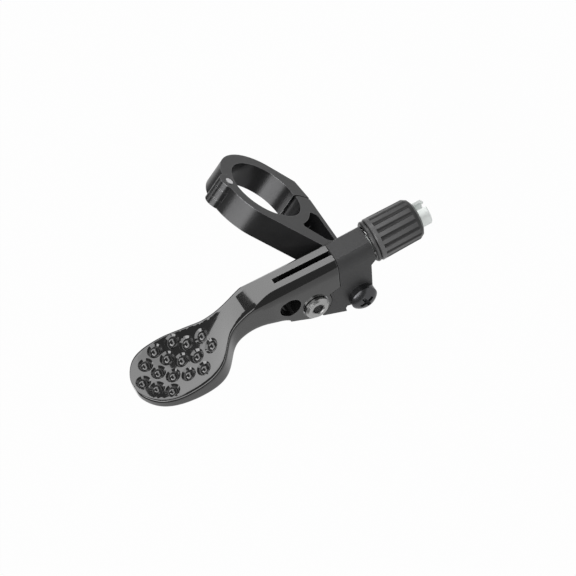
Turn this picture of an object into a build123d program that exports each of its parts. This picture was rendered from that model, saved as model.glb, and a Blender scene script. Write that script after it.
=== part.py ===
from build123d import *
import os
from math import acos, atan2, cos, degrees, hypot, radians, sin, sqrt

# Dropper post remote lever for a 22.2 mm handlebar.
# The part frame has its origin on the handlebar axis, in the middle of the clamp.
# +X runs along the bar, +Y points away from the lever, and +Z goes up the clamp.
# The lever, its housing and the adjuster are drawn in the line frame instead:
# x along the control line, y up from the line, z out of the front face.

# Handlebar clamp
bar_radius = 11.1
ring_wall = 3.7
clamp_width = 7.9
boss_outer = 17.25
boss_corner_y = 6.4
boss_corner_z = 16.05
slit_gap = 0.5
nose_radius = 8.4
nose_tip = -0.6
relief_radius = 10.5
relief_y = -0.7
relief_z = -1.3

# Clamp hinge
hinge_y = 0.7
hinge_z = 13.5
knuckle_radius = 3.1
knuckle_middle = 2.9
knuckle_gap = 0.2
hinge_pin_radius = 1.15
hinge_pin_proud = 0.2

# Clamp closing screw
clamp_screw_radius = 1.5
clamp_screw_z = 13.95
clamp_head_radius = 2.7
clamp_head_height = 3.0
clamp_head_seat = 3.2
clamp_screw_reach = 6.5
clamp_hex = 2.5
clamp_hex_depth = 1.6
clamp_thread_end = 0.5

# Bracket arm and back plate
arm_root_width = 8.5
pocket_leg = 1.65
pocket_brace_top = 6.9
pocket_brace_foot = 4.7
pocket_ring_wall = 3.9
pocket_reach = 8.6
pocket_round = 1.1
plate_thickness = 3.2
plate_pivot_radius = 4.6
plate_screw_radius = 3.6
pivot_boss_radius = 2.95

# Place of the line frame: distances from the bar, and its tilt about the front axis
line_out = 27.9
line_drop = 9.61
line_shift = 2.95
line_tilt = 42.5

# Housing and lever root share one section: a round top with a flat
body_half = 5.2
body_top = 4.2
lever_back_gap = 0.2
seam_gap = 0.22

# Housing block
boss_end = 10.9
boss_low = -1.8
step_x = 9.1
step_y = -3.2
edge_x = 7.75
foot_x = -1.4
foot_y = -17.3
foot_left_x = -8.4
foot_left_y = -13.75
notch_width = 0.6
notch_top = -15.2
seam_upper_x = -0.7
seam_mid_x = -1.3
seam_mid_y = -5.5
seam_end_x = -5.3
seam_end_y = -6.5
line_hole_radius = 1.2

# Housing screw
screw_x = 4.0
screw_y = -13.2
screw_ear_radius = 3.75
screw_radius = 2.5
screw_head_radius = 4.05
screw_head_height = 3.5
screw_head_rim = 1.9
screw_head_waist = 2.5
screw_head_crown = 0.35
cross_width = 1.1
cross_length = 4.4
cross_depth = 1.5
cross_turn = 20

# Pivot and its two ball bearings
pivot_x = -9.7
pivot_y = -8.0
ear_radius = 4.9
bearing_bore = 2.5
bearing_outer = 4.0
bearing_width = 2.5
inner_land = 3.0
outer_land = 3.55
ball_radius = 0.45
ball_count = 11
cage_wall = 0.25
cage_width = 1.5
seal_thickness = 0.3
seal_inset = 0.1
bearing_recess = 0.5
bearing_shoulder = 3.7
spacer_radius = 2.95
pivot_collar_radius = 2.95
pivot_collar_height = 0.25
pivot_head_radius = 3.7
pivot_head_height = 2.0
pivot_head_bevel = 0.55
pivot_head_flat = 3.05
pivot_lead_in = 0.25
pivot_hex = 3.0
pivot_hex_depth = 1.5
pivot_thread_radius = 2.0

# Named clearances, all radial
fit_clearance = 0.02
pin_clearance = 0.04
thread_clearance = 0.05
ball_clearance = 0.06
screw_clearance = 0.15
knuckle_clearance = 0.15
seat_clearance = 0.05

# Lever blade: x, top, bottom, reach to the front and reach to the rear
blade_stations = [
    (-18.0, 5.1, -8.9, 5.2, 5.2),
    (-21.5, 5.15, -6.8, 5.1, 5.1),
    (-25.0, 4.65, -5.5, 4.9, 4.9),
    (-28.5, 3.6, -5.2, 4.6, 4.6),
    (-32.0, 1.9, -5.9, 4.5, 4.4),
    (-35.5, -0.4, -7.6, 5.2, 4.9),
    (-38.0, -2.15, -9.3, 7.4, 5.7),
    (-40.5, -3.8, -10.5, 9.7, 6.8),
    (-43.0, -5.2, -11.3, 10.8, 8.2),
    (-46.5, -6.8, -12.0, 11.2, 9.9),
    (-50.5, -8.1, -12.6, 10.9, 11.4),
    (-54.5, -9.1, -12.9, 10.2, 12.1),
    (-58.5, -9.6, -13.0, 8.9, 11.8),
    (-61.5, -9.75, -13.0, 7.0, 10.4),
    (-63.6, -9.8, -12.9, 4.6, 8.0),
    (-64.8, -9.85, -12.7, 2.4, 5.6),
    (-65.3, -9.95, -12.5, 0.6, 3.6),
]
blade_rim = 0.9
shoulder_end = -37.0
shoulder_rise = 2.5
back_cut_end = -31.0
slot_width = 1.8
slot_end = -18.4
slot_floor = -1.0
head_hole_x = -16.9
head_hole_y = -3.1
head_hole_radius = 3.25

# Studs of the paddle stand in four arcs round one centre
stud_centre_x = -40.8
stud_centre_z = -12.4
stud_first_arc = 9.9
stud_arc_step = 4.75
stud_pitch = 4.7
stud_rows = ((3, 125.5), (5, 129.0), (5, 134.0), (3, 142.0))
dish_radius = 2.25
dish_floor_radius = 1.6
dish_depth = 0.45
stud_radius = 1.8
stud_sink = 1.3

# Barrel adjuster
thread_radius = 3.0
thread_depth = 8.0
thread_end_gap = 0.3
knob_start = 12.6
knob_end = 27.1
knob_radius = 6.4
knob_end_radius = 6.2
knob_round = 2.0
knob_shoulder = 0.7
knob_bevel = 0.35
knob_cavity_radius = 4.9
knob_cavity_end = 18.0
flute_count = 16
flute_radius = 0.7
flute_reach = 0.15
flute_start = 14.0
collar_start = 11.3
collar_end = 12.2
collar_radius = 6.2
collar_neck = 5.5
stem_radius = 3.7
stem_bevel = 0.3
stem_bore = 2.75
stem_bore_floor = 22.0
seat_bore = 2.5
seat_floor = 19.0
stem_end = 30.3
stem_slot_width = 2.0
stem_slot_depth = 5.0
spring_wire = 0.3
spring_radius = 3.9
spring_turns = 5
seat_hole_radius = 1.0
seat_web = 1.0
seat_rim = 0.45

# Depths of the layers, from the back plate to the front face
plate_front = -body_half
plate_back = plate_front - plate_thickness
lever_back = plate_front + lever_back_gap
rear_race_back = lever_back + lever_back_gap
rear_race_front = rear_race_back + bearing_width
front_race_front = body_half - bearing_recess
front_race_back = front_race_front - bearing_width
ball_track = (inner_land + outer_land) / 2

# The clamp's outer circle, and where the arm meets the housing's back
ring_outer = bar_radius + ring_wall
arm_end = body_half - line_out
root_z = arm_root_width - boss_outer
far = 60

line_frame = Plane(
    origin=(line_shift, -line_out, -line_drop),
    x_dir=(cos(radians(line_tilt)), 0, -sin(radians(line_tilt))),
    z_dir=(0, -1, 0),
)


def place(shape):
    """Puts a shape drawn in the line frame where it belongs on the part."""
    return line_frame.location * shape


def outline(points):
    return make_face(Polyline(*points, close=True))


def disc(x, y, radius):
    return Pos(x, y) * Circle(radius)


def strip(low_x, high_x, low_y, high_y):
    """A rectangle between two pairs of edges."""
    centre = Pos((low_x + high_x) / 2, (low_y + high_y) / 2)
    return centre * Rectangle(high_x - low_x, high_y - low_y)


def upright(face, low, high):
    """A prism of a line-frame profile, from one depth to another."""
    return Pos(0, 0, low) * extrude(face, high - low)


def post(x, y, radius, low, high):
    return upright(disc(x, y, radius), low, high)


def on_line(radius, start, end):
    """A round bar on the control line."""
    return Pos(start, 0, 0) * Rot(0, 90, 0) * extrude(Circle(radius), end - start)


def turned_on_line(points):
    """A turned piece round the control line, from pairs of place and radius."""
    return revolve(outline(points), Axis.X)


def turned_at_pivot(points):
    """A turned piece round the lever's pivot, from pairs of radius and depth."""
    half = Plane.XZ.location * outline(points)
    return Pos(pivot_x, pivot_y, 0) * revolve(half, Axis.Z)


def across_bar(face, low, high):
    """A prism along the handlebar of a profile drawn in y and z."""
    return Plane.YZ.location * upright(face, low, high)


def along_y(radius, z, start, end):
    """A round bar beside the handlebar, at a height below its axis."""
    return Pos(0, start, -z) * Rot(-90, 0, 0) * extrude(Circle(radius), end - start)


def hexagon(across, height):
    return extrude(RegularPolygon(across / sqrt(3), 6), height)


def ring_touch(y, z, side):
    """Where a straight edge from a corner touches the clamp's outer circle."""
    turn = acos(ring_outer / hypot(y, z))
    angle = atan2(z, y) + side * turn
    return (ring_outer * cos(angle), ring_outer * sin(angle))


def nose_disc(radius):
    """The round nose where the bracket meets the strap at the slit."""
    return disc(nose_tip - nose_radius, -clamp_screw_z, radius)


def pocket_profile():
    """The pocket between the straight leg and the slanted brace of the arm."""
    touch_y, touch_z = ring_touch(arm_end, root_z, -1)
    run = hypot(touch_y - arm_end, touch_z - root_z)
    step_y = (touch_y - arm_end) / run
    step_z = (touch_z - root_z) / run
    foot = (arm_end + pocket_brace_foot * step_z, root_z - pocket_brace_foot * step_y)
    top = (touch_y + pocket_brace_top * step_z, touch_z - pocket_brace_top * step_y)
    leg_z = pocket_leg - boss_outer
    slope = (top[0] - foot[0]) / (top[1] - foot[1])
    tip = (foot[0] + slope * (leg_z - foot[1]), leg_z)
    pocket = outline([tip, top, (0, 0), (-pocket_reach, leg_z)])
    pocket = pocket - Circle(bar_radius + pocket_ring_wall)
    return offset(offset(pocket, -pocket_round), pocket_round)


def bracket_profile():
    corner = (arm_end, root_z)
    touch = ring_touch(arm_end, root_z, -1)
    slit_base = nose_tip - 2
    arm = outline([
        (slit_base, -boss_outer), (arm_end, -boss_outer), corner, touch, (0, 0), (slit_base, 0),
    ])
    half_ring = Circle(ring_outer) & strip(-far, hinge_y, 0, far)
    nose = nose_disc(nose_radius) & strip(slit_base - 1, 0, -boss_outer, -bar_radius / 2)
    knuckle = disc(hinge_y, hinge_z, knuckle_radius)
    face = arm + half_ring + nose + knuckle
    relief = disc(relief_y, relief_z, relief_radius) & strip(-far, 0, -far, 0)
    return face - Circle(bar_radius) - relief - pocket_profile()


def strap_profile():
    corner = (boss_corner_y, -boss_corner_z)
    touch = ring_touch(boss_corner_y, -boss_corner_z, 1)
    boss = outline([(nose_tip - 2, -boss_outer), (nose_tip, -boss_outer), corner, touch, (0, 0)])
    half_ring = Circle(ring_outer) & (strip(hinge_y, far, 0, far) + strip(nose_tip - 1, far, -far, 1))
    knuckle = disc(hinge_y, hinge_z, knuckle_radius)
    face = boss + half_ring + knuckle - Circle(bar_radius)
    below_slit = nose_disc(nose_radius + slit_gap) + strip(-far, nose_tip - 2, -far, 0)
    return face - (below_slit & strip(-far, far, -far, 0))


def hinge_disc(extra):
    return disc(hinge_y, hinge_z, knuckle_radius + extra)


def back_plate():
    """Plate behind the lever: it joins the arm, the pivot and the housing screw."""
    tilt = radians(line_tilt)
    corners = []
    for x in (-clamp_width / 2, clamp_width / 2):
        for z in (-boss_outer, root_z):
            along = x - line_shift
            up = z + line_drop
            corners.append((along * cos(tilt) - up * sin(tilt), along * sin(tilt) + up * cos(tilt)))
    root = outline([corners[0], corners[1], corners[3], corners[2]])
    pieces = [root, disc(pivot_x, pivot_y, plate_pivot_radius), disc(screw_x, screw_y, plate_screw_radius)]
    edges = [edge for piece in pieces for edge in piece.edges()]
    return upright(make_hull(edges), plate_back, plate_front)


def clamp_bracket():
    half = clamp_width / 2
    arm = across_bar(bracket_profile(), -half, half)
    middle = knuckle_middle / 2 + knuckle_gap
    arm = arm - across_bar(hinge_disc(knuckle_clearance), -middle, middle)
    arm = arm - across_bar(disc(hinge_y, hinge_z, hinge_pin_radius + pin_clearance), -far, far)
    thread = clamp_screw_radius + thread_clearance
    arm = arm - along_y(thread, clamp_screw_z, -clamp_screw_reach - clamp_thread_end, 0)
    boss = post(pivot_x, pivot_y, pivot_boss_radius, plate_front, rear_race_back)
    bracket = arm + place(back_plate()) + place(boss)
    for x, y, radius in ((pivot_x, pivot_y, pivot_thread_radius), (screw_x, screw_y, screw_radius)):
        hole = post(x, y, radius + thread_clearance, plate_back - 1, body_half)
        bracket = bracket - place(hole)
    return bracket


def clamp_strap():
    half = clamp_width / 2
    strap = across_bar(strap_profile(), -half, half)
    middle = knuckle_middle / 2
    for low, high in ((-far, -middle), (middle, far)):
        strap = strap - across_bar(hinge_disc(knuckle_clearance), low, high)
    strap = strap - across_bar(disc(hinge_y, hinge_z, hinge_pin_radius + pin_clearance), -far, far)
    strap = strap - along_y(clamp_screw_radius + screw_clearance, clamp_screw_z, -3, far)
    return strap - along_y(clamp_head_radius + screw_clearance, clamp_screw_z, clamp_head_seat, far)


def hinge_pin():
    half = clamp_width / 2 + hinge_pin_proud
    return across_bar(disc(hinge_y, hinge_z, hinge_pin_radius), -half, half)


def clamp_screw():
    shank = along_y(clamp_screw_radius, clamp_screw_z, -clamp_screw_reach, clamp_head_seat)
    top = clamp_head_seat + clamp_head_height
    head = along_y(clamp_head_radius, clamp_screw_z, clamp_head_seat, top)
    socket = hexagon(clamp_hex, clamp_hex_depth)
    return shank + head - Pos(0, top, -clamp_screw_z) * Rot(90, 0, 0) * socket


def housing_profile():
    """Side outline of the housing, from the seam to the step under the boss."""
    block = outline([
        (0, body_top + 3),
        (boss_end, body_top + 3),
        (boss_end, boss_low),
        (step_x, step_y),
        (edge_x, screw_y),
        (screw_x, screw_y - screw_ear_radius),
        (foot_x + notch_width, notch_top),
        (foot_x, notch_top - notch_width),
        (foot_x, foot_y),
        (foot_left_x, foot_left_y),
        (pivot_x, pivot_y),
        (seam_end_x, seam_end_y),
        (seam_mid_x, seam_mid_y),
        (seam_upper_x, 0),
        (0, body_top),
    ])
    block = block + disc(screw_x, screw_y, screw_ear_radius)
    return block - disc(pivot_x, pivot_y, ear_radius + seam_gap)


def housing_block():
    block = upright(housing_profile(), -body_half, body_half)
    section = Circle(body_half) + strip(-body_half, body_half, -far, 0)
    section = section - strip(-far, far, body_top, far)
    block = block & Pos(-far, 0, 0) * Rot(0, 90, 0) * extrude(section, 2 * far)
    block = block - on_line(thread_radius + thread_clearance, boss_end - thread_depth, far)
    block = block - on_line(line_hole_radius, -1, boss_end)
    hole = screw_radius + screw_clearance
    return block - post(screw_x, screw_y, hole, -far, far)


def housing_screw():
    shank = post(screw_x, screw_y, screw_radius, plate_back, body_half)
    rim = body_half + screw_head_rim
    top = body_half + screw_head_height
    dome = ThreePointArc(
        (screw_head_radius, rim), (screw_head_waist, top - screw_head_crown), (0, top),
    )
    sides = Polyline((0, top), (0, body_half), (screw_head_radius, body_half), (screw_head_radius, rim))
    half = Plane.XZ.location * make_face([dome, sides])
    head = Pos(screw_x, screw_y, 0) * revolve(half, Axis.Z)
    bar = Box(cross_length, cross_width, 2 * cross_depth)
    cross = Rot(0, 0, cross_turn) * (bar + Rot(0, 0, 90) * bar)
    return shank + head - Pos(screw_x, screw_y, top) * cross


def pivot_bolt():
    """Cap screw whose shank carries both bearings and whose collar clamps them."""
    crown = front_race_front + pivot_head_height
    under_head = front_race_front + pivot_collar_height
    shoulder = bearing_bore - fit_clearance
    bolt = turned_at_pivot([
        (0, plate_back), (pivot_thread_radius, plate_back), (pivot_thread_radius, rear_race_back),
        (shoulder, rear_race_back), (shoulder, front_race_front),
        (pivot_collar_radius, front_race_front), (pivot_collar_radius, under_head),
        (pivot_head_radius, under_head), (pivot_head_radius, crown - pivot_head_bevel),
        (pivot_head_flat, crown), (0, crown),
    ])
    corner = pivot_hex / sqrt(3)
    lead_in = Pos(0, 0, -pivot_lead_in / 2) * Cone(corner, corner + pivot_lead_in, pivot_lead_in)
    bolt = bolt - Pos(pivot_x, pivot_y, crown) * lead_in
    socket = hexagon(pivot_hex, pivot_hex_depth + 1)
    return bolt - Pos(pivot_x, pivot_y, crown - pivot_hex_depth) * socket


def spacer_sleeve():
    bore = bearing_bore + fit_clearance
    return turned_at_pivot([
        (bore, rear_race_front), (spacer_radius, rear_race_front),
        (spacer_radius, front_race_back), (bore, front_race_back),
    ])


def ball_groove(back):
    """The round track that both races carry for the balls."""
    half = Pos(ball_track, back + bearing_width / 2) * Circle(ball_radius + ball_clearance)
    return Pos(pivot_x, pivot_y, 0) * revolve(Plane.XZ.location * half, Axis.Z)


def race(inner, outer, back):
    front = back + bearing_width
    plain = turned_at_pivot([(inner, back), (outer, back), (outer, front), (inner, front)])
    return plain - ball_groove(back)


def ball_ring(back, shape):
    """Copies of a shape, one at each ball's place round the pivot."""
    one = Pos(ball_track, 0, back + bearing_width / 2) * shape
    turns = [Rot(0, 0, i * 360 / ball_count) for i in range(ball_count)]
    return [Pos(pivot_x, pivot_y, 0) * turn * one for turn in turns]


def bearing_balls(back):
    return Compound(ball_ring(back, Sphere(ball_radius)))


def ball_cage(back):
    low = back + (bearing_width - cage_width) / 2
    inner = ball_track - cage_wall / 2
    outer = ball_track + cage_wall / 2
    band = turned_at_pivot([
        (inner, low), (outer, low), (outer, low + cage_width), (inner, low + cage_width),
    ])
    pocket = Rot(0, 90, 0) * Cylinder(ball_radius + ball_clearance, 2)
    return band - ball_ring(back, pocket)


def bearing_seals(back):
    """Two thin seals, held in the outer race and clear of the inner one."""
    inner = inner_land + seat_clearance
    outer = outer_land - fit_clearance
    seals = []
    for low in (back + seal_inset, back + bearing_width - seal_inset - seal_thickness):
        high = low + seal_thickness
        seals.append(turned_at_pivot([(inner, low), (outer, low), (outer, high), (inner, high)]))
    return Compound(seals)


def blade_section(station):
    """Rounded rectangle across the blade at one station."""
    x, top, bottom, front, rear = station
    plane = Plane(origin=(x, (top + bottom) / 2, (front - rear) / 2), x_dir=(0, 0, 1), z_dir=(-1, 0, 0))
    return plane * RectangleRounded(front + rear, top - bottom, blade_rim)


def stud_places():
    """Centres of the studs in x and z of the line frame."""
    places = []
    for row, (count, middle) in enumerate(stud_rows):
        arc = stud_first_arc + row * stud_arc_step
        step = degrees(stud_pitch / arc)
        for i in range(count):
            angle = radians(middle + (i - (count - 1) / 2) * step)
            places.append((stud_centre_x + arc * cos(angle), stud_centre_z + arc * sin(angle)))
    return places


def studs(blade, shape):
    """Copies of a shape that stand on the blade's top, square to the surface."""
    copies = []
    for x, z in stud_places():
        down = Axis((x, far, z), (0, -1, 0))
        point, normal = max(blade.find_intersection_points(down), key=lambda hit: hit[0].Y)
        copies.append(Plane(origin=point, z_dir=normal).location * shape)
    return copies


def lever_blade():
    first = blade_stations[0]
    blade = loft([blade_section(station) for station in blade_stations])
    neck = Line((first[0], first[1]), (first[0], first[2]))
    ear = make_hull([neck.edge(), *disc(pivot_x, pivot_y, ear_radius).edges()])
    root = outline([(1, body_top), (first[0], first[1]), (pivot_x, pivot_y), (1, pivot_y)]) + ear
    blade = blade + upright(root, -body_half, body_half)
    barrel = Rot(0, 0, -shoulder_rise) * on_line(body_half, -far, far)
    top = Rot(0, 0, -shoulder_rise) * upright(strip(shoulder_end, 1, 0, far), -far, far)
    blade = blade - (top - barrel)
    blade = blade - upright(offset(housing_profile(), seam_gap), -far, far)
    blade = blade - upright(strip(back_cut_end, 1, -far, far), -far, lever_back)
    blade = blade - post(pivot_x, pivot_y, bearing_shoulder, -far, far)
    pocket = bearing_outer + fit_clearance
    blade = blade - post(pivot_x, pivot_y, pocket, front_race_back, far)
    blade = blade - post(pivot_x, pivot_y, pocket, -far, rear_race_front)
    blade = blade - post(head_hole_x, head_hole_y, head_hole_radius, -far, far)
    slot = outline([
        (1, far), (slot_end, far), (slot_end, head_hole_y), (head_hole_x, head_hole_y - 1),
        (1, slot_floor),
    ])
    blade = blade - upright(slot, -slot_width / 2, slot_width / 2)
    dish = Pos(0, 0, -dish_depth / 2) * Cone(dish_floor_radius, dish_radius, dish_depth)
    dish = dish + Pos(0, 0, dish_depth) * Cylinder(dish_radius, 2 * dish_depth)
    stud = Pos(0, 0, -stud_sink) * Sphere(stud_radius)
    dishes, domes = studs(blade, dish), studs(blade, stud)
    return blade - dishes + domes


def barrel_stem():
    thread_start = boss_end - thread_depth + thread_end_gap
    stem = turned_on_line([
        (thread_start, line_hole_radius),
        (thread_start, thread_radius),
        (knob_cavity_end, thread_radius), (knob_cavity_end, stem_radius),
        (stem_end - stem_bevel, stem_radius), (stem_end, stem_radius - stem_bevel),
        (stem_end, stem_bore), (stem_bore_floor, stem_bore), (stem_bore_floor, seat_bore),
        (seat_floor, seat_bore), (seat_floor, line_hole_radius),
    ])
    slot = Box(2 * stem_slot_depth, 3 * stem_radius, stem_slot_width)
    return stem - Pos(stem_end, 0, 0) * slot


def barrel_knob():
    bore = stem_radius + fit_clearance
    knob = turned_on_line([
        (knob_start, knob_cavity_radius), (knob_start, knob_radius - knob_bevel),
        (knob_start + knob_bevel, knob_radius), (knob_end - knob_round, knob_end_radius),
        (knob_end - knob_shoulder, knob_end_radius - knob_shoulder), (knob_end, knob_end_radius - knob_round),
        (knob_end, bore), (knob_cavity_end, bore), (knob_cavity_end, knob_cavity_radius),
    ])
    flute = Pos(0, knob_radius + flute_reach, 0) * on_line(flute_radius, flute_start, far)
    return knob - [Rot(i * 360 / flute_count, 0, 0) * flute for i in range(flute_count)]


def knob_collar():
    return turned_on_line([
        (collar_start, knob_cavity_radius), (collar_start, collar_radius - knob_bevel),
        (collar_start + knob_bevel, collar_radius), (collar_end, collar_radius),
        (collar_end, collar_neck), (knob_start, collar_neck), (knob_start, knob_cavity_radius),
    ])


def knob_spring():
    length = knob_cavity_end - boss_end - 2 * spring_wire
    coil = Helix(length / spring_turns, length, spring_radius)
    section = Plane(coil @ 0, z_dir=coil % 0) * Circle(spring_wire)
    spring = sweep(section, coil)
    return Pos(boss_end + spring_wire, 0, 0) * Rot(0, 90, 0) * spring


def ferrule_seat():
    outer = seat_bore - seat_clearance
    return turned_on_line([
        (seat_floor, seat_hole_radius), (seat_floor, outer), (stem_bore_floor, outer),
        (stem_bore_floor, outer - seat_rim), (seat_floor + seat_web, seat_hole_radius),
    ])


def write(shape, node):
    export_step(shape, "parts/" + node + ".step")


os.makedirs("parts", exist_ok=True)

write(clamp_bracket(), "clamp_bracket")
write(clamp_strap(), "clamp_strap")
write(hinge_pin(), "hinge_pin")
write(clamp_screw(), "clamp_screw")

for side, back in (("front", front_race_back), ("rear", rear_race_back)):
    write(place(race(bearing_bore, inner_land, back)), side + "_inner_race")
    write(place(race(outer_land, bearing_outer, back)), side + "_outer_race")
    write(place(bearing_balls(back)), side + "_bearing_balls")
    write(place(ball_cage(back)), side + "_ball_cage")
    write(place(bearing_seals(back)), side + "_bearing_seals")

write(place(housing_block()), "housing_block")
write(place(housing_screw()), "housing_screw")
write(place(pivot_bolt()), "pivot_bolt")
write(place(spacer_sleeve()), "spacer_sleeve")
write(place(lever_blade()), "lever_blade")
write(place(barrel_stem()), "barrel_stem")
write(place(barrel_knob()), "barrel_knob")
write(place(knob_collar()), "knob_collar")
write(place(knob_spring()), "knob_spring")
write(place(ferrule_seat()), "ferrule_seat")
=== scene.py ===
from math import pi

import bpy
from mathutils import Matrix, Vector


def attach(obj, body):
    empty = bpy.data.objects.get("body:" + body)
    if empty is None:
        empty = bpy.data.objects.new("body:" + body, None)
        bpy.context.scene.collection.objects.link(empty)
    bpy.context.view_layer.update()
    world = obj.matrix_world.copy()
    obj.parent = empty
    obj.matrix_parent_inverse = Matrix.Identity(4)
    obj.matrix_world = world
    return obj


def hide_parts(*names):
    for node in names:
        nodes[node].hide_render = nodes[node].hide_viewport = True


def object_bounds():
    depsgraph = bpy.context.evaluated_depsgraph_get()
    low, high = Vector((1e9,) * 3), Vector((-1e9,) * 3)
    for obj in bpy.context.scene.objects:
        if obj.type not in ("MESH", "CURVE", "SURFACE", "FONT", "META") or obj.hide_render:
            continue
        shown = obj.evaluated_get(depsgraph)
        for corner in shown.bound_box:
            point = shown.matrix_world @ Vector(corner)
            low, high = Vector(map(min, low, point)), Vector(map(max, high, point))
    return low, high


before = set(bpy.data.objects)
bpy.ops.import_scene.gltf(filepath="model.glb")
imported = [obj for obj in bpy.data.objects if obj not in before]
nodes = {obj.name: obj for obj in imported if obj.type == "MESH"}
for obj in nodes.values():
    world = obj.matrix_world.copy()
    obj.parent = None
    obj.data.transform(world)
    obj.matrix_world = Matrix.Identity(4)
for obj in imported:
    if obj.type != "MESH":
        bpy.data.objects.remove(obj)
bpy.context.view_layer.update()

# Camera of the catalogue picture: it looks down on the lever from the front left, from
# about 0.9 m, through a long lens. Its turn and scale were fitted to the clamp's two
# bore rims, and seam_point is where blade and housing meet on the stem's axis.
scene = bpy.context.scene
scene.view_settings.view_transform = "Standard"

view_back = Vector((0.4326, -0.5760, 0.6928)).normalized()
view_right = Vector((0.5266, -0.4620, -0.7131)).normalized()
view_up = view_back.cross(view_right).normalized()
view_right = view_up.cross(view_back).normalized()
camera_distance = 0.90
film_width = 36.0
picture_width = 576
pixels_per_metre = 3560.0
seam_pixel = (333.0, 261.2)
seam_point = Vector((0.00295, -0.0279, -0.00961))

camera_data = bpy.data.cameras.new("camera")
camera_data.sensor_width = film_width
camera_data.lens = film_width * camera_distance * pixels_per_metre / picture_width
camera_data.clip_end = 20
camera = bpy.data.objects.new("camera", camera_data)
scene.collection.objects.link(camera)
off_right = (seam_pixel[0] - picture_width / 2) / pixels_per_metre
off_up = (picture_width / 2 - seam_pixel[1]) / pixels_per_metre
aim = seam_point - view_right * off_right - view_up * off_up
turn = Matrix((view_right, view_up, view_back)).transposed().to_4x4()
camera.matrix_world = Matrix.Translation(aim + view_back * camera_distance) @ turn
scene.camera = camera

# Floor of white paper a little below the hanging part. Seen directly it is white, and a
# small share of it stays plain paper, so that a faint shadow shows. A polished face
# mirrors more of the plain paper, so that the black parts keep their depth.
floor_drop = 0.035
floor_side = 6.0
paper_grey = (0.5, 0.5, 0.5, 1)
white_share = 0.97
mirrored_white = 0.3


def math_node(tree, operation, *values):
    """One step of arithmetic. Each value is an output or a plain number."""
    step = tree.nodes.new("ShaderNodeMath")
    step.operation = operation
    for socket, value in zip(step.inputs, values):
        if isinstance(value, (int, float)):
            socket.default_value = value
        else:
            tree.links.new(value, socket)
    return step.outputs[0]


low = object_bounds()[0]
bpy.ops.mesh.primitive_plane_add(size=floor_side, location=(0, 0, low[2] - floor_drop))
floor = bpy.context.object
floor.name = "floor"
floor_paper = bpy.data.materials.new("floor_paper")
floor_paper.use_nodes = True
paper = floor_paper.node_tree
paper.nodes.clear()
paper_path = paper.nodes.new("ShaderNodeLightPath").outputs
paper_seen = math_node(paper, "MAXIMUM", paper_path["Is Camera Ray"], paper_path["Is Transmission Ray"])
paper_mirrored = math_node(paper, "MULTIPLY", paper_path["Is Glossy Ray"], mirrored_white)
paper_either = math_node(paper, "MAXIMUM", paper_seen, paper_mirrored)
paper_plain = paper.nodes.new("ShaderNodeBsdfDiffuse")
paper_plain.inputs["Color"].default_value = paper_grey
paper_white = paper.nodes.new("ShaderNodeEmission")
paper_mix = paper.nodes.new("ShaderNodeMixShader")
paper_out = paper.nodes.new("ShaderNodeOutputMaterial")
paper.links.new(math_node(paper, "MULTIPLY", paper_either, white_share), paper_mix.inputs["Fac"])
paper.links.new(paper_plain.outputs[0], paper_mix.inputs[1])
paper.links.new(paper_white.outputs[0], paper_mix.inputs[2])
paper.links.new(paper_mix.outputs[0], paper_out.inputs["Surface"])
floor.data.materials.append(floor_paper)

# Studio light: a dim even room under five soft panels that stand round a dark middle.
# The rear ones are mirrored by the flats beside the blade's slot and by its neck, the right
# and front ones by the thumb plate and its studs, and the left one by the clamp's wall.
room_level = 0.12
room_mirrored_more = 0.06
panel_height = 0.8
panels = (
    # name, left and right edge, near and far edge, brightness
    ("rear_panel", -0.55, 1.45, 0.57, 1.14, 2.7),
    ("right_panel", 0.32, 0.92, -0.50, 0.57, 2.3),
    ("front_panel", -0.30, 0.92, -1.25, -0.50, 2.5),
    ("left_panel", -0.78, -0.30, -0.95, 0.04, 4.6),
    ("neck_panel", -0.50, 0.06, 0.48, 0.57, 2.7),
)

world = bpy.data.worlds.new("world")
scene.world = world
world.use_nodes = True
air = world.node_tree
room = air.nodes["Background"]
room.inputs["Color"].default_value = (1, 1, 1, 1)
room_path = air.nodes.new("ShaderNodeLightPath").outputs
room_seen = math_node(air, "MAXIMUM", room_path["Is Camera Ray"], room_path["Is Transmission Ray"])
room_lit = math_node(air, "MULTIPLY_ADD", room_path["Is Glossy Ray"], room_mirrored_more, room_level)
air.links.new(math_node(air, "MAXIMUM", room_seen, room_lit), room.inputs["Strength"])

for name, left, right, near, far, brightness in panels:
    lamp = bpy.data.lights.new(name, "AREA")
    lamp.shape = "RECTANGLE"
    lamp.size = right - left
    lamp.size_y = far - near
    lamp.energy = brightness * pi * lamp.size * lamp.size_y
    panel = bpy.data.objects.new(name, lamp)
    panel.location = ((left + right) / 2, (near + far) / 2, panel_height)
    panel.visible_camera = False
    scene.collection.objects.link(panel)

# Clamp bracket and strap: forged alloy, bead blasted and anodised black, hinged on one
# side and pulled together by a screw on the other. The dye leaves a dark satin metal, a
# little worn along its edges, and the lighter colour there also paints the edges' highlight.
edge_start = 0.96
edge_gain = 6.0


def new_pattern(name, inputs, outputs):
    """A group of nodes that makes a pattern: it starts with its named ends only."""
    pattern = bpy.data.node_groups.new(name, "ShaderNodeTree")
    for socket, kind, value in inputs:
        made = pattern.interface.new_socket(name=socket, in_out="INPUT", socket_type=kind)
        made.default_value = value
    for socket in outputs:
        pattern.interface.new_socket(name=socket, in_out="OUTPUT", socket_type="NodeSocketFloat")
    given = pattern.nodes.new("NodeGroupInput").outputs
    return pattern, given, pattern.nodes.new("NodeGroupOutput").inputs


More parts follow.
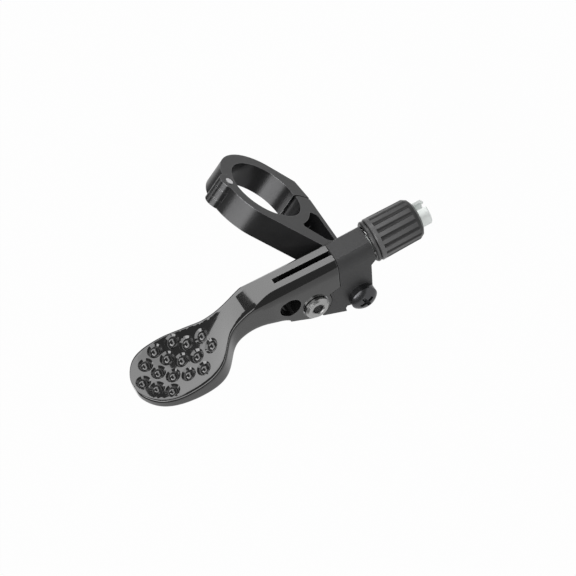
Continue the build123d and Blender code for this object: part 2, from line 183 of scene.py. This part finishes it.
def noise_node(tree, scale, detail):
    """A noise in the piece's own place, at a plain or a given scale."""
    noise = tree.nodes.new("ShaderNodeTexNoise")
    place = tree.nodes.new("ShaderNodeTexCoord")
    tree.links.new(place.outputs["Object"], noise.inputs["Vector"])
    noise.inputs["Detail"].default_value = detail
    if isinstance(scale, (int, float)):
        noise.inputs["Scale"].default_value = scale
    else:
        tree.links.new(scale, noise.inputs["Scale"])
    return noise.outputs["Fac"]


def vector_node(tree, operation, *values):
    """One step of arithmetic between directions or places. It has two outputs."""
    step = tree.nodes.new("ShaderNodeVectorMath")
    step.operation = operation
    for socket, value in zip(step.inputs, values):
        tree.links.new(value, socket)
    return step.outputs


def mix_node(tree, share, first, second):
    """A blend of two colours. Each is an output or a plain colour."""
    blend = tree.nodes.new("ShaderNodeMix")
    blend.data_type = "RGBA"
    tree.links.new(share, blend.inputs["Factor"])
    for socket, value in ((blend.inputs[6], first), (blend.inputs[7], second)):
        if isinstance(value, tuple):
            socket.default_value = (*value, 1)
        else:
            tree.links.new(value, socket)
    return blend.outputs[2]


# Grain is the fine surface of a blasted or moulded skin, and tone its slow change.
grain, given, made = new_pattern(
    "surface_grain", [("Fineness", "NodeSocketFloat", 6000)], ["Grain", "Tone"])
grain.links.new(noise_node(grain, given["Fineness"], 3), made["Grain"])
slow = math_node(grain, "MULTIPLY", given["Fineness"], 0.04)
grain.links.new(noise_node(grain, slow, 4), made["Tone"])

# Worn and lit edges are where a rounded normal leaves the true one, broken up by a noise. The lighter
# colour there is edge wear and a painted highlight of the rounded edge in one.
rubbed_and_lit, given, made = new_pattern(
    "rubbed_and_lit_edges", [("Reach", "NodeSocketFloat", 0.0002)], ["Mask"])
round_normal = rubbed_and_lit.nodes.new("ShaderNodeBevel")
round_normal.samples = 6
rubbed_and_lit.links.new(given["Reach"], round_normal.inputs["Radius"])
true_normal = rubbed_and_lit.nodes.new("ShaderNodeNewGeometry")
likeness = vector_node(
    rubbed_and_lit, "DOT_PRODUCT", round_normal.outputs["Normal"], true_normal.outputs["Normal"])["Value"]
bend = math_node(rubbed_and_lit, "MAXIMUM", math_node(rubbed_and_lit, "SUBTRACT", edge_start, likeness), 0.0)
whole = math_node(rubbed_and_lit, "MULTIPLY", bend, edge_gain)
broken = math_node(rubbed_and_lit, "MULTIPLY", whole, noise_node(rubbed_and_lit, 1800, 4))
rubbed_and_lit.links.new(math_node(rubbed_and_lit, "MINIMUM", broken, 1.0), made["Mask"])


def shader_of(finish):
    return finish.node_tree.nodes["Principled BSDF"]


def new_finish(name, dark, light, metallic, roughness, fineness, depth, reach, edge_wear_and_highlight):
    """A finish with grain, a slow tone between dark and light, and lighter edges: wear and a painted
    highlight.

    roughness holds its smoothest and its roughest, fineness and depth are its grain's, and
    reach and the last argument are the width and the colour of its edges' wear and painted highlight.
    """
    finish = bpy.data.materials.new(name)
    finish.use_nodes = True
    tree = finish.node_tree
    shader = shader_of(finish)
    shader.inputs["Metallic"].default_value = metallic
    skin = tree.nodes.new("ShaderNodeGroup")
    skin.node_tree = grain
    skin.inputs["Fineness"].default_value = fineness
    edges = tree.nodes.new("ShaderNodeGroup")
    edges.node_tree = rubbed_and_lit
    edges.inputs["Reach"].default_value = reach
    tone = mix_node(tree, skin.outputs["Tone"], dark, light)
    # Edges take a lighter colour: wear, and a painted highlight of the rounded edge.
    colour = mix_node(tree, edges.outputs["Mask"], tone, edge_wear_and_highlight)
    tree.links.new(colour, shader.inputs["Base Color"])
    polish = tree.nodes.new("ShaderNodeMapRange")
    polish.inputs["To Min"].default_value = roughness[0]
    polish.inputs["To Max"].default_value = roughness[1]
    tree.links.new(skin.outputs["Tone"], polish.inputs["Value"])
    tree.links.new(polish.outputs[0], shader.inputs["Roughness"])
    bump = tree.nodes.new("ShaderNodeBump")
    bump.inputs["Strength"].default_value = 0.4
    bump.inputs["Distance"].default_value = depth
    tree.links.new(skin.outputs["Grain"], bump.inputs["Height"])
    tree.links.new(bump.outputs["Normal"], shader.inputs["Normal"])
    return finish


def put_on(finish, *names):
    """Puts a finish on the slots of the named solids."""
    for name in names:
        for place in nodes[name].material_slots:
            place.material = finish


bracket_satin = new_finish(
    "bracket_satin", dark=(0.036, 0.036, 0.037), light=(0.05, 0.05, 0.051), metallic=0.7,
    roughness=(0.2, 0.28), fineness=7000, depth=0.00002, reach=0.0003, edge_wear_and_highlight=(0.3, 0.3, 0.305))
put_on(bracket_satin, "clamp_bracket", "clamp_strap")

# Hinge pin: a plain steel pin, pressed through the bracket's two knuckles and left
# bright. The strap's knuckle turns on it.
pin_steel = new_finish(
    "pin_steel", dark=(0.62, 0.62, 0.63), light=(0.78, 0.78, 0.79), metallic=1.0,
    roughness=(0.2, 0.34), fineness=4000, depth=0.00002, reach=0.0001, edge_wear_and_highlight=(0.85, 0.85, 0.85))
put_on(pin_steel, "hinge_pin")

# Clamp screw and housing screw: steel, blackened in hot oxide and oiled, so they shine
# more than the anodised parts. Their edges get a lighter colour, partly worn steel and partly painted
# highlight.
screw_black = new_finish(
    "screw_black", dark=(0.07, 0.07, 0.073), light=(0.11, 0.11, 0.115), metallic=0.9,
    roughness=(0.16, 0.3), fineness=5000, depth=0.00002, reach=0.00012, edge_wear_and_highlight=(0.25, 0.25, 0.26))
put_on(screw_black, "clamp_screw", "housing_screw")

# Housing block: the same alloy, finer blasted, with a soft sheen. Its top flat and its
# side carry no print here and keep their plain satin skin.
housing_satin = new_finish(
    "housing_satin", dark=(0.03, 0.03, 0.031), light=(0.04, 0.04, 0.041), metallic=0.0,
    roughness=(0.34, 0.46), fineness=8000, depth=0.000015, reach=0.00015, edge_wear_and_highlight=(0.09, 0.09, 0.09))
put_on(housing_satin, "housing_block")

# Bearings: ground steel races and balls, pressed steel cages, and black rubber seals
# between the races. A plain sleeve keeps the two inner races apart on the bolt.
race_steel = new_finish(
    "race_steel", dark=(0.42, 0.42, 0.43), light=(0.55, 0.55, 0.56), metallic=1.0,
    roughness=(0.12, 0.24), fineness=5000, depth=0.00001, reach=0.0001, edge_wear_and_highlight=(0.7, 0.7, 0.7))
cage_steel = new_finish(
    "cage_steel", dark=(0.5, 0.49, 0.46), light=(0.62, 0.61, 0.58), metallic=1.0,
    roughness=(0.25, 0.4), fineness=6000, depth=0.00002, reach=0.0001, edge_wear_and_highlight=(0.7, 0.7, 0.68))
seal_rubber = new_finish(
    "seal_rubber", dark=(0.016, 0.016, 0.017), light=(0.026, 0.026, 0.027), metallic=0.0,
    roughness=(0.5, 0.65), fineness=7000, depth=0.00003, reach=0.0001, edge_wear_and_highlight=(0.04, 0.04, 0.04))
for end in ("front", "rear"):
    put_on(race_steel, end + "_inner_race", end + "_outer_race", end + "_bearing_balls")
    put_on(cage_steel, end + "_ball_cage")
    put_on(seal_rubber, end + "_bearing_seals")

# Pivot bolt and spacer: stainless steel, turned and left satin, so fine rings run round
# their axis. The hexagon socket is cut by broaching, and its inside gets painted shade, a flat grey.
bolt_middle = (-0.009606, 0, -0.008955)
bolt_axis = (0, 1, 0)
bolt_face = -0.0346
face_rounding = 0.0002
socket_corner = 0.0019
# Flat grey of the painted shade inside the bolt's socket.
painted_socket_shade = (0.22, 0.22, 0.22)

# Turned rings follow the distance from an axis and the distance along it.
rings, given, made = new_pattern(
    "turned_rings",
    [("Middle", "NodeSocketVector", (0, 0, 0)), ("Axis", "NodeSocketVector", (0, 1, 0)),
     ("Spacing", "NodeSocketFloat", 0.00015)],
    ["Rings", "Off Axis", "Along Axis"])
place = rings.nodes.new("ShaderNodeTexCoord").outputs["Object"]
from_middle = vector_node(rings, "SUBTRACT", place, given["Middle"])["Vector"]
sideways = vector_node(rings, "CROSS_PRODUCT", from_middle, given["Axis"])["Vector"]
off_axis = vector_node(rings, "LENGTH", sideways)["Value"]
along_axis = vector_node(rings, "DOT_PRODUCT", from_middle, given["Axis"])["Value"]
passed = math_node(rings, "DIVIDE", math_node(rings, "ADD", off_axis, along_axis), given["Spacing"])
wave = math_node(rings, "SINE", math_node(rings, "MULTIPLY", passed, 2 * pi))
rings.links.new(math_node(rings, "MULTIPLY", wave, noise_node(rings, 3000, 2)), made["Rings"])
rings.links.new(off_axis, made["Off Axis"])
rings.links.new(along_axis, made["Along Axis"])


def turn_rings(finish, middle, axis, spacing, depth):
    """Adds turned rings round an axis to a finish, over its grain."""
    tree = finish.node_tree
    turned = tree.nodes.new("ShaderNodeGroup")
    turned.node_tree = rings
    turned.inputs["Middle"].default_value = middle
    turned.inputs["Axis"].default_value = axis
    turned.inputs["Spacing"].default_value = spacing
    ridge = tree.nodes.new("ShaderNodeBump")
    ridge.inputs["Strength"].default_value = 0.5
    ridge.inputs["Distance"].default_value = depth
    tree.links.new(turned.outputs["Rings"], ridge.inputs["Height"])
    normal = shader_of(finish).inputs["Normal"]
    tree.links.new(normal.links[0].from_socket, ridge.inputs["Normal"])
    tree.links.new(ridge.outputs["Normal"], normal)
    return turned.outputs


bolt_silver = new_finish(
    "bolt_silver", dark=(0.40, 0.40, 0.395), light=(0.52, 0.52, 0.515), metallic=1.0,
    roughness=(0.2, 0.32), fineness=5000, depth=0.00001, reach=0.00012, edge_wear_and_highlight=(0.85, 0.85, 0.85))
turned = turn_rings(bolt_silver, bolt_middle, bolt_axis, spacing=0.00016, depth=0.000004)
tree = bolt_silver.node_tree
# Painted shade: inside the socket's corner radius and below the bolt's face the colour turns flat grey.
inside = math_node(tree, "LESS_THAN", turned["Off Axis"], socket_corner)
below = math_node(tree, "GREATER_THAN", turned["Along Axis"], bolt_face + face_rounding)
socket_shade = math_node(tree, "MULTIPLY", inside, below)
colour = shader_of(bolt_silver).inputs["Base Color"]
tree.links.new(mix_node(tree, socket_shade, colour.links[0].from_socket, painted_socket_shade), colour)
put_on(bolt_silver, "pivot_bolt", "spacer_sleeve")

# Lever blade: forged alloy under a deep black gloss. The paint lies thick and very
# slightly wavy over the studs and the thumb plate; its edges get a lighter colour, thinner paint there
# and a painted highlight in one.
blade_gloss = new_finish(
    "blade_gloss", dark=(0.005, 0.005, 0.005), light=(0.009, 0.009, 0.009), metallic=0.0,
    roughness=(0.05, 0.09), fineness=500, depth=0.000002, reach=0.0005, edge_wear_and_highlight=(0.13, 0.13, 0.13))
shader_of(blade_gloss).inputs["Coat Weight"].default_value = 1.0
shader_of(blade_gloss).inputs["Coat Roughness"].default_value = 0.03
put_on(blade_gloss, "lever_blade")

# Its thumb plate is scooped between the rims, which the solid leaves flat. The solid's
# skin is copied, cut into strips along the plate and pressed down in their middle.
along = Vector((0.737277, 0, -0.675590))
upward = Vector((0.675590, 0, 0.737277))
plate_start = -0.031
steepest = 0.5
strip_width = 0.001
strips_each_way = 12
skin_depth = 1.1
scoop = (
    # place along the stem's axis, top, middle, half width inside the rims, depth, all in mm
    (-65.3, -9.9, -1.5, 2.0, 0.8), (-63.6, -9.8, -1.7, 5.4, 0.8), (-61.5, -9.75, -1.7, 7.8, 0.8),
    (-58.5, -9.6, -1.45, 9.4, 0.8), (-54.5, -9.1, -0.95, 10.2, 0.8), (-50.5, -8.1, -0.25, 10.2, 0.75),
    (-46.5, -6.8, 0.65, 9.6, 0.7), (-43.0, -5.2, 1.3, 8.6, 0.6), (-40.5, -3.8, 1.45, 7.3, 0.45),
    (-38.0, -2.15, 0.85, 5.6, 0.3), (-35.5, -0.4, 0.15, 4.1, 0.15), (-32.0, 1.9, 0.05, 3.5, 0.0),
)
scoop_end_start = -52.0
scoop_end = -64.3


def between(place):
    """Top, middle, half width and depth of the scoop at a place along the axis."""
    for near, far in zip(scoop, scoop[1:]):
        if near[0] <= place <= far[0]:
            share = (place - near[0]) / (far[0] - near[0])
            return [a + share * (b - a) for a, b in zip(near[1:], far[1:])]
    return None


def select_plate_top(mesh):
    """Selects the faces on the top of the thumb plate, and nothing else."""
    mesh.vertices.foreach_set("select", [False] * len(mesh.vertices))
    mesh.edges.foreach_set("select", [False] * len(mesh.edges))
    chosen = []
    for face in mesh.polygons:
        place = (face.center - seam_point).dot(along)
        chosen.append(place < plate_start and face.normal.dot(upward) > steepest)
    mesh.polygons.foreach_set("select", chosen)


bpy.ops.object.select_all(action="DESELECT")
blade = bpy.data.objects.new("blade", nodes["lever_blade"].data.copy())
scene.collection.objects.link(blade)
bpy.context.view_layer.objects.active = blade
blade.select_set(True)
bpy.ops.mesh.customdata_custom_splitnormals_clear()
bpy.ops.object.mode_set(mode="EDIT")
bpy.ops.mesh.select_mode(type="FACE")
bpy.ops.mesh.select_all(action="SELECT")
bpy.ops.mesh.remove_doubles(threshold=0.000001)
for strip in range(-strips_each_way, strips_each_way + 1):
    bpy.ops.object.mode_set(mode="OBJECT")
    select_plate_top(blade.data)
    bpy.ops.object.mode_set(mode="EDIT")
    cut = seam_point + Vector((0, strip_width * strip, 0))
    bpy.ops.mesh.bisect(plane_co=cut, plane_no=(0, 1, 0), threshold=0.0000001)
bpy.ops.object.mode_set(mode="OBJECT")
for vertex in blade.data.vertices:
    off = (vertex.co - seam_point) * 1000
    found = between(off.dot(along))
    if found is None:
        continue
    top, middle, half, depth = found
    across = (-off.y - middle) / half
    if off.dot(upward) < top - skin_depth or abs(across) >= 1:
        continue
    toward_end = max(0.0, (scoop_end_start - off.dot(along)) / (scoop_end_start - scoop_end))
    press = depth * (1 - across ** 2) * max(0.0, 1 - toward_end ** 2)
    vertex.co -= upward * press * 0.001
bpy.ops.object.shade_smooth_by_angle(angle=0.5)
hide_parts("lever_blade")
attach(blade, "lever")

# Adjuster: a turned alloy stem, nickel bright, screws into the housing's boss. A ribbed
# knob of dark moulded plastic is pressed on it, with a light spring behind its collar.
groove_floor = 0.00600
rib_top = 0.00636
# Near black of the painted shade in the knob's flutes.
groove_shade = (0.02, 0.02, 0.02)

stem_silver = new_finish(
    "stem_silver", dark=(0.88, 0.92, 0.9), light=(0.93, 0.96, 0.94), metallic=0.9,
    roughness=(0.42, 0.52), fineness=5000, depth=0.00001, reach=0.0001, edge_wear_and_highlight=(0.94, 0.95, 0.95))
turn_rings(stem_silver, seam_point, along, spacing=0.0002, depth=0.000001)
put_on(stem_silver, "barrel_stem")
spring_steel = new_finish(
    "spring_steel", dark=(0.5, 0.5, 0.5), light=(0.65, 0.65, 0.65), metallic=1.0,
    roughness=(0.2, 0.3), fineness=6000, depth=0.00001, reach=0.0001, edge_wear_and_highlight=(0.7, 0.7, 0.7))
put_on(spring_steel, "knob_spring")
knob_dark = new_finish(
    "knob_dark", dark=(0.1, 0.1, 0.101), light=(0.14, 0.14, 0.141), metallic=0.0,
    roughness=(0.26, 0.36), fineness=6000, depth=0.00002, reach=0.0002, edge_wear_and_highlight=(0.15, 0.15, 0.15))
# Painted shade: the flutes and the knob's ends, nearer the axis than the ribs' tops, are darkened
# towards near black; the ribs' tops keep the knob's own colour.
tree = knob_dark.node_tree
turned = turn_rings(knob_dark, seam_point, along, spacing=0.0004, depth=0.000001)
outside_groove_shade = tree.nodes.new("ShaderNodeMapRange")
outside_groove_shade.inputs["From Min"].default_value = groove_floor
outside_groove_shade.inputs["From Max"].default_value = rib_top
tree.links.new(turned["Off Axis"], outside_groove_shade.inputs["Value"])
colour = shader_of(knob_dark).inputs["Base Color"]
tree.links.new(mix_node(tree, outside_groove_shade.outputs[0], groove_shade, colour.links[0].from_socket), colour)
put_on(knob_dark, "barrel_knob", "knob_collar")

# Ferrule seat: a small grey moulded cup, pressed into the bottom of the stem's bore, with
# a small hole through its middle.
seat_grey = new_finish(
    "seat_grey", dark=(0.2, 0.2, 0.21), light=(0.27, 0.27, 0.28), metallic=0.0,
    roughness=(0.4, 0.55), fineness=6000, depth=0.00003, reach=0.0001, edge_wear_and_highlight=(0.35, 0.35, 0.35))
put_on(seat_grey, "ferrule_seat")
